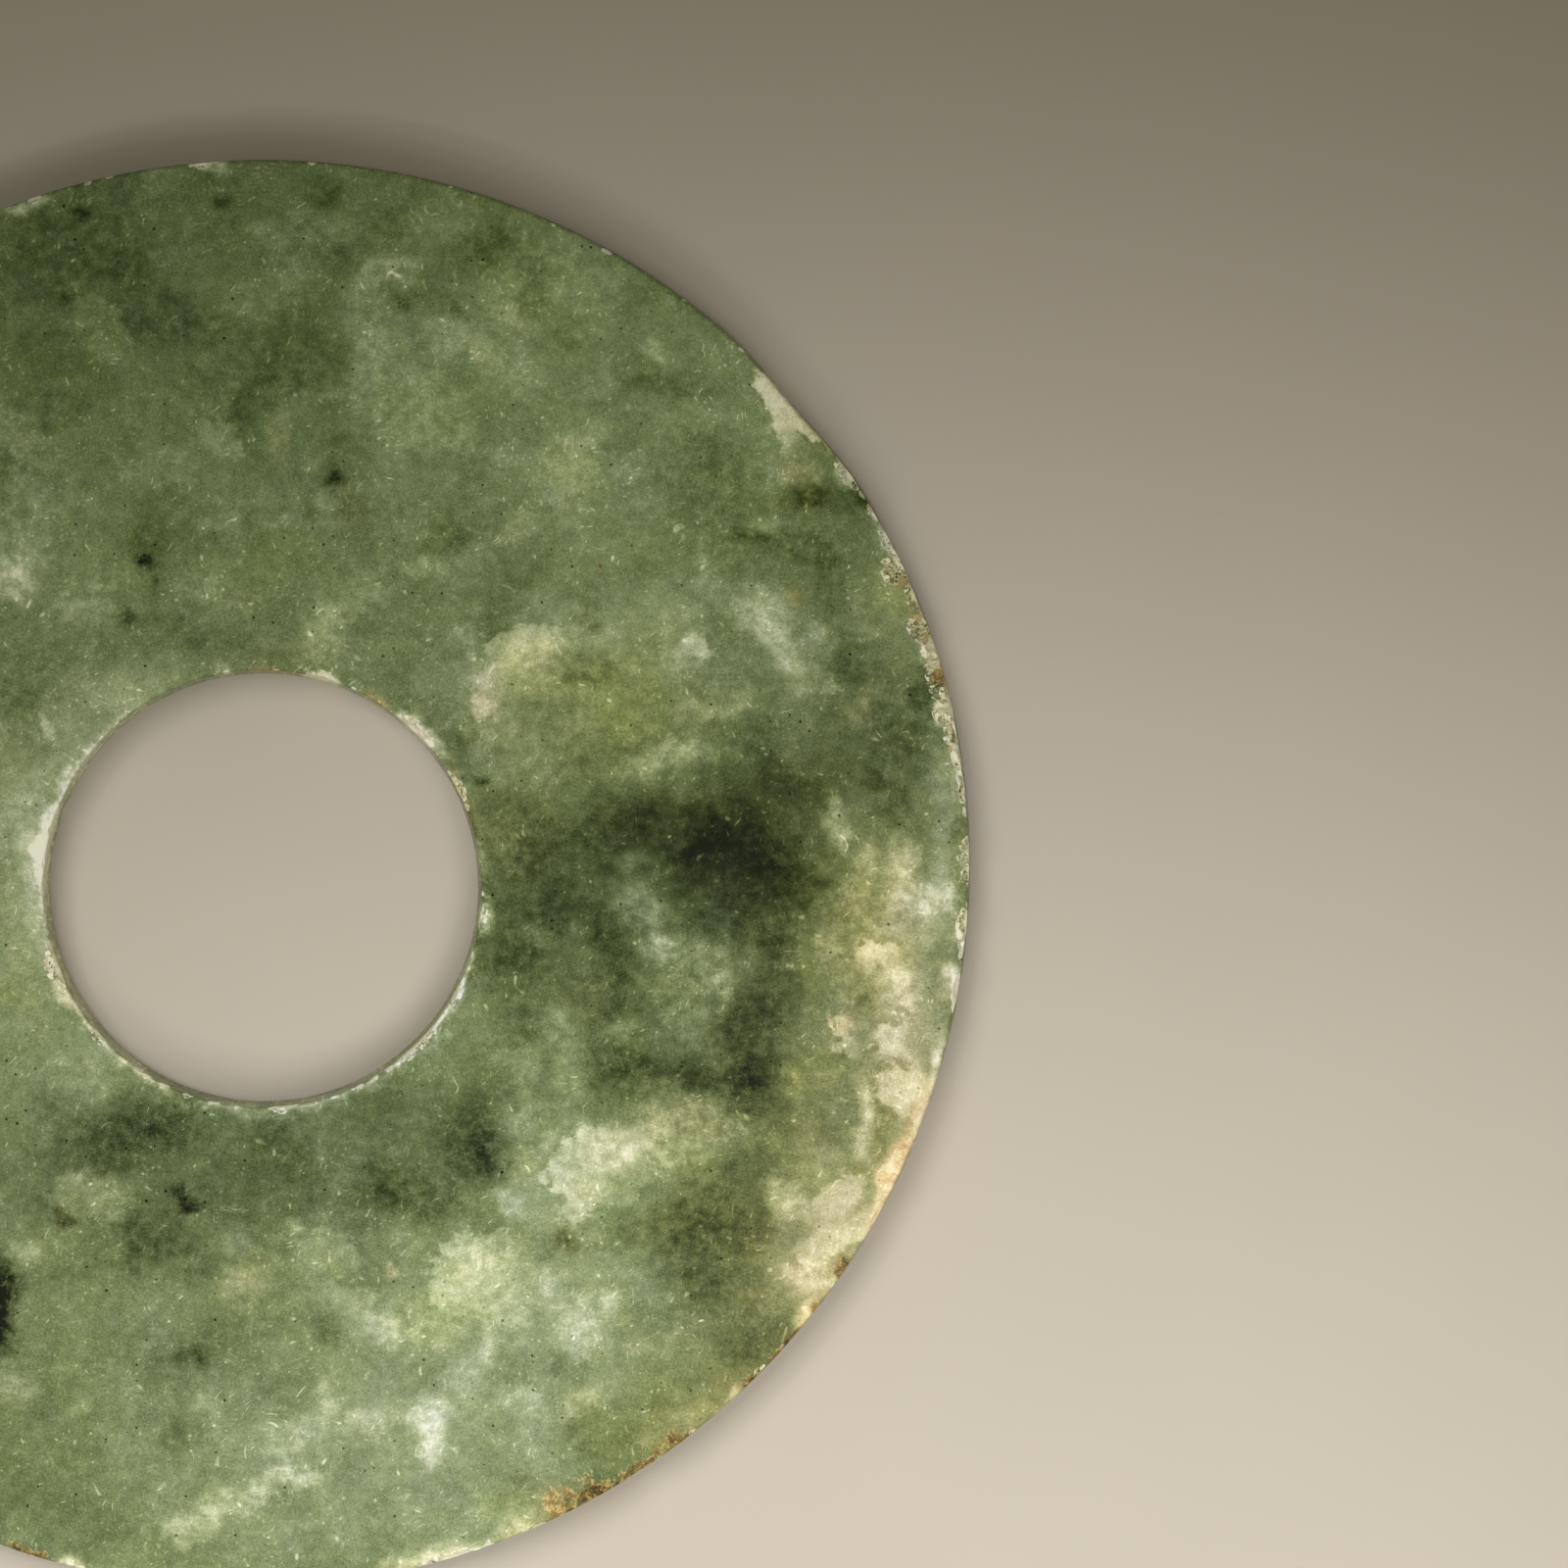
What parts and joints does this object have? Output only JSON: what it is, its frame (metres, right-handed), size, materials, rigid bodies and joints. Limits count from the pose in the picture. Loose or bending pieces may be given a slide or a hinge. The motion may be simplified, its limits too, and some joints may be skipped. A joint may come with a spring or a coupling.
{
  "type": "jade bi disc",
  "caption": "Flat round stone disc with a round hole through its middle, plain on both faces, with eased, lightly chipped edges.",
  "frame": {"origin": "on the underside, in the middle of the disc's outline", "axes": "+Z out of the better face, +Y towards the top of the disc as it is pictured, +X to the right"},
  "size_m": [0.1202, 0.1202, 0.005],
  "materials": {
    "jade": "old waxy polish, clouded and worn"
  },
  "bodies": {
    "root": {"jade_bi_disc": "jade"}
  },
  "joints": []
}
